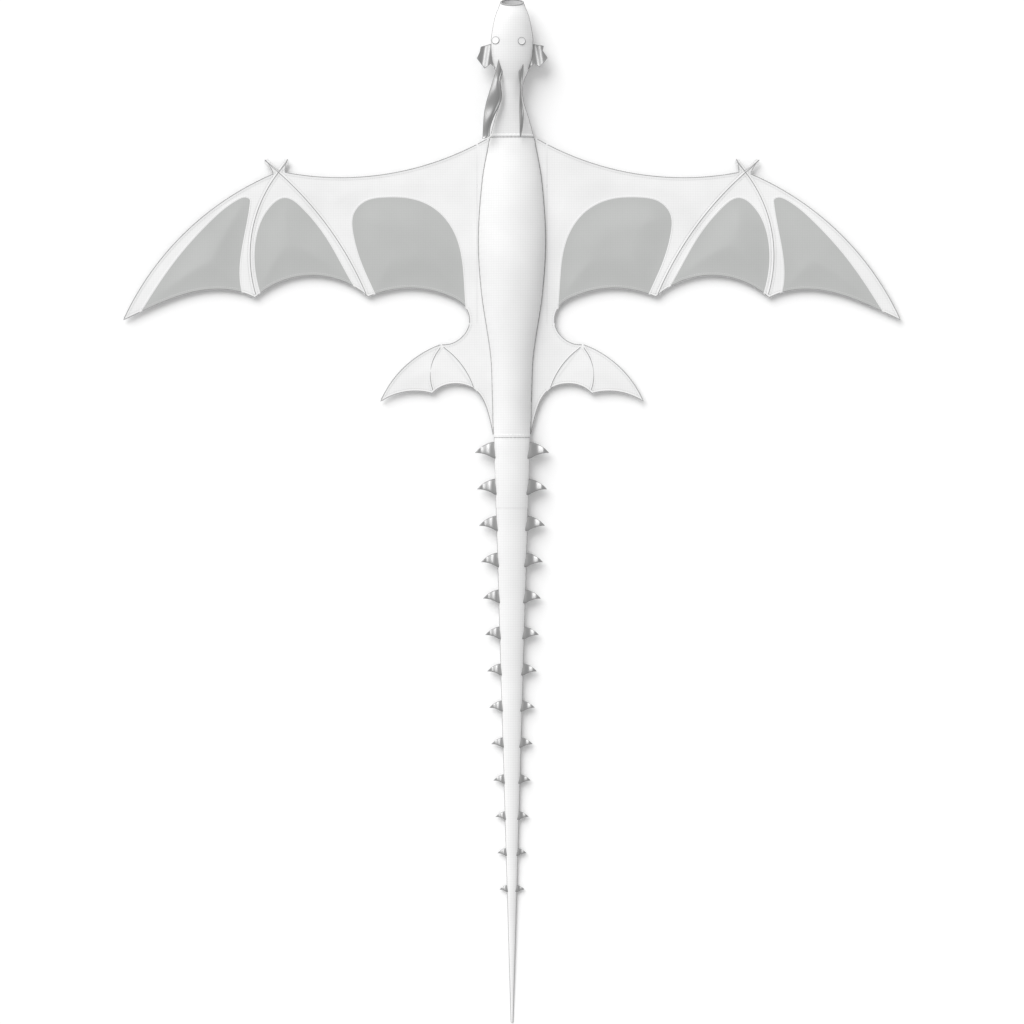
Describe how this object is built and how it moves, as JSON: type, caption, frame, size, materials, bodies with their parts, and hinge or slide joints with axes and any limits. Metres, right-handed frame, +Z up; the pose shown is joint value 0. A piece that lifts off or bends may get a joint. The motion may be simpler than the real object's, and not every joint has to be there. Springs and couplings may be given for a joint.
{
  "type": "kite",
  "caption": "Single line dragon kite with bat wings on bowed rods, an air filled body, horned head with open mouth, leg flaps and a long tapering tail edged with cloth spikes.",
  "frame": {"origin": "on the surface the kite lies on, at the centre of its bounding box, on the body's centre line", "axes": "+Y toward the head, +X across the wings to the right seen from above, +Z up out of the kite's back"},
  "size_m": [1.6, 2.106, 0.0588],
  "materials": {
    "sail_cloth": "matte",
    "window_cloth": "matte",
    "body_cloth": "matte",
    "satin_cloth": "satin",
    "eye_patch": "satin",
    "hoop_plastic": "satin",
    "fibreglass": "satin",
    "vinyl": "matte",
    "ferrule_metal": "satin",
    "eyelet_metal": "satin"
  },
  "bodies": {
    "body": {"back_panel": "body_cloth", "centre_sail": "sail_cloth", "spine_front": "fibreglass", "spine_rear": "fibreglass", "spine_ferrule": "ferrule_metal", "cross_fitting": "vinyl", "spreader_centre": "fibreglass", "leg_rib_inner_left": "fibreglass", "leg_rib_inner_right": "fibreglass"},
    "keel": {"keel_flap": "sail_cloth", "tow_eyelet": "eyelet_metal"},
    "head": {"head_sock": "body_cloth", "mouth_hoop": "hoop_plastic", "eye_left": "eye_patch", "eye_right": "eye_patch", "ear_left": "satin_cloth", "ear_right": "satin_cloth", "horn_left": "satin_cloth", "horn_right": "satin_cloth"},
    "wing_left": {"wing_sail_left": "sail_cloth", "window_inner_left": "window_cloth", "window_middle_left": "window_cloth", "window_outer_left": "window_cloth", "spreader_arm_left": "fibreglass", "wing_joiner_left": "vinyl", "finger_rod_inner_left": "fibreglass", "finger_rod_outer_left": "fibreglass", "leading_edge_rod_left": "fibreglass", "wrist_fitting_left": "vinyl"},
    "leg_left": {"leg_sail_left": "sail_cloth", "leg_rib_outer_left": "fibreglass"},
    "wing_right": {"wing_sail_right": "sail_cloth", "window_inner_right": "window_cloth", "window_middle_right": "window_cloth", "window_outer_right": "window_cloth", "spreader_arm_right": "fibreglass", "wing_joiner_right": "vinyl", "finger_rod_inner_right": "fibreglass", "finger_rod_outer_right": "fibreglass", "leading_edge_rod_right": "fibreglass", "wrist_fitting_right": "vinyl"},
    "leg_right": {"leg_sail_right": "sail_cloth", "leg_rib_outer_right": "fibreglass"},
    "tail_1": {"tail_1": "body_cloth", "tail_spikes_01": "satin_cloth", "tail_spikes_02": "satin_cloth", "tail_spikes_03": "satin_cloth", "tail_spikes_04": "satin_cloth"},
    "tail_2": {"tail_2": "body_cloth", "tail_spikes_05": "satin_cloth", "tail_spikes_06": "satin_cloth", "tail_spikes_07": "satin_cloth"},
    "tail_3": {"tail_3": "body_cloth", "tail_spikes_08": "satin_cloth", "tail_spikes_09": "satin_cloth", "tail_spikes_10": "satin_cloth"},
    "tail_4": {"tail_4": "body_cloth", "tail_spikes_11": "satin_cloth", "tail_spikes_12": "satin_cloth", "tail_spikes_13": "satin_cloth"}
  },
  "joints": [
    {"name": "head_nod", "type": "hinge", "parent": "body", "child": "head", "pos_m": [0, 0.772, 0.02], "axis": [1, 0, 0], "range_deg": [-20, 25]},
    {"name": "wing_fold_right", "type": "hinge", "parent": "body", "child": "wing_right", "pos_m": [0.072, 0.5, 0.01], "axis": [0, -1, 0], "range_deg": [0, 60]},
    {"name": "wing_fold_left", "type": "hinge", "parent": "body", "child": "wing_left", "pos_m": [-0.072, 0.5, 0.01], "axis": [0, 1, 0], "range_deg": [0, 60]},
    {"name": "leg_fold_right", "type": "hinge", "parent": "body", "child": "leg_right", "pos_m": [0.146, 0.343, 0.01], "axis": [-0.6027, -0.798, 0], "range_deg": [0, 60]},
    {"name": "leg_fold_left", "type": "hinge", "parent": "body", "child": "leg_left", "pos_m": [-0.146, 0.343, 0.01], "axis": [-0.6027, 0.798, 0], "range_deg": [0, 60]},
    {"name": "keel_swing", "type": "hinge", "parent": "body", "child": "keel", "pos_m": [0, 0.545, 0.0006], "axis": [0, 1, 0], "range_deg": [0, 90]},
    {"name": "tail_bend_1", "type": "hinge", "parent": "body", "child": "tail_1", "pos_m": [0, 0.152, 0.02072], "axis": [-1, 0, 0], "range_deg": [-30, 30]},
    {"name": "tail_bend_2", "type": "hinge", "parent": "tail_1", "child": "tail_2", "pos_m": [0, -0.1393, 0.01593], "axis": [-1, 0, 0], "range_deg": [-30, 30]},
    {"name": "tail_bend_3", "type": "hinge", "parent": "tail_2", "child": "tail_3", "pos_m": [0, -0.3648, 0.01222], "axis": [-1, 0, 0], "range_deg": [-30, 30]},
    {"name": "tail_bend_4", "type": "hinge", "parent": "tail_3", "child": "tail_4", "pos_m": [0, -0.5902, 0.00851], "axis": [-1, 0, 0], "range_deg": [-30, 30]}
  ]
}
